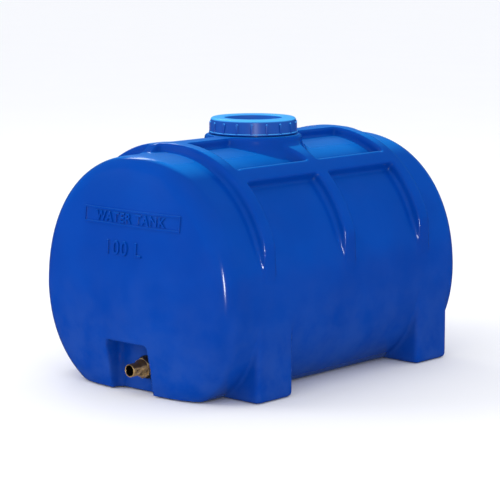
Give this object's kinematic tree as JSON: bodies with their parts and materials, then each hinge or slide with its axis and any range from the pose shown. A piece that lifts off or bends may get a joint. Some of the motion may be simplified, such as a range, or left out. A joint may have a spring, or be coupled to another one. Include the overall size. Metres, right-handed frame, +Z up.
{
  "type": "horizontal livestock water tank",
  "caption": "Horizontal moulded drum for watering livestock, with hoops over the top, moulded feet, a screw lid and a brass outlet in a pocket at the front end.",
  "frame": {"origin": "middle of the footprint, on the ground that the feet stand on", "axes": "+Z up; +Y along the drum, away from the outlet end, so the outlet faces -Y; +X to the right of someone who looks at the outlet end"},
  "size_m": [0.464, 0.692, 0.462],
  "materials": {
    "shell_plastic": "glossy rotational-moulded blue polyethylene with a faint orange-peel",
    "lid_plastic": "injection-moulded blue polypropylene, satin gloss",
    "seal_rubber": "matt black moulded rubber",
    "brass": "turned brass, slightly tarnished"
  },
  "bodies": {
    "tank": {"tank_shell": "shell_plastic", "outlet_fitting": "brass", "outlet_washer_outer": "seal_rubber", "outlet_washer_inner": "seal_rubber", "outlet_backnut": "brass"},
    "gasket": {"lid_gasket": "seal_rubber"},
    "lid": {"screw_lid": "lid_plastic", "air_valve": "seal_rubber"}
  },
  "joints": [
    {"name": "lid_rise", "type": "slide", "parent": "tank", "child": "gasket", "axis": [0, 0, 1], "range_m": [0, 0.0101]},
    {"name": "lid_turn", "type": "hinge", "parent": "gasket", "child": "lid", "pos_m": [0, -0.0065, 0.44], "axis": [0, 0, 1], "range_deg": [0, 450]}
  ],
  "couplings": [
    {"joint": "lid_rise", "follows": "lid_turn", "m_per_rad": 0.0012732}
  ]
}
